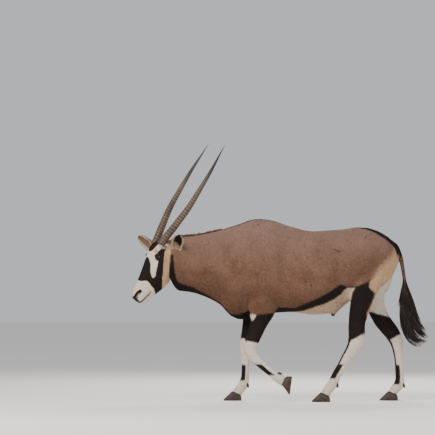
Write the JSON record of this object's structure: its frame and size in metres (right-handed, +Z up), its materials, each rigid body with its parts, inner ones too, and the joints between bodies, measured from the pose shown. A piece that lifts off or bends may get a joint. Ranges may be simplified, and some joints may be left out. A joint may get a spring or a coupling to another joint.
{
  "type": "gemsbok",
  "caption": "Life-size still model of a walking gemsbok bull, with long straight ringed horns, its head low and turned a little to its left.",
  "frame": {"origin": "on the floor under the middle of the animal's box", "axes": "+X from the head to the tail, +Y to the animal's right, +Z up"},
  "size_m": [2.0046, 0.472, 1.7444],
  "materials": {
    "coat": "short hair, matt",
    "dark_hair": "hair, matt",
    "white_hair": "short hair, matt",
    "horn": "horn, satin",
    "hoof": "horn, satin",
    "eye": "wet, glossy"
  },
  "bodies": {
    "root": {"head": "coat", "eye_left": "eye", "horn_left": "horn", "ear_left": "coat", "eye_right": "eye", "horn_right": "horn", "ear_right": "coat", "foreleg_left_upper": "dark_hair", "foreleg_left_lower": "white_hair", "foreleg_left_claw_outer": "hoof", "foreleg_left_claw_inner": "hoof", "foreleg_right_upper": "dark_hair", "foreleg_right_lower": "white_hair", "foreleg_right_claw_inner": "hoof", "foreleg_right_claw_outer": "hoof", "hindleg_left_upper": "dark_hair", "hindleg_left_lower": "white_hair", "hindleg_left_claw_outer": "hoof", "hindleg_left_claw_inner": "hoof", "hindleg_right_upper": "dark_hair", "hindleg_right_lower": "white_hair", "hindleg_right_claw_inner": "hoof", "hindleg_right_claw_outer": "hoof", "torso": "coat", "neck": "coat", "tail_dock": "coat", "tail_tassel": "dark_hair"}
  },
  "joints": []
}
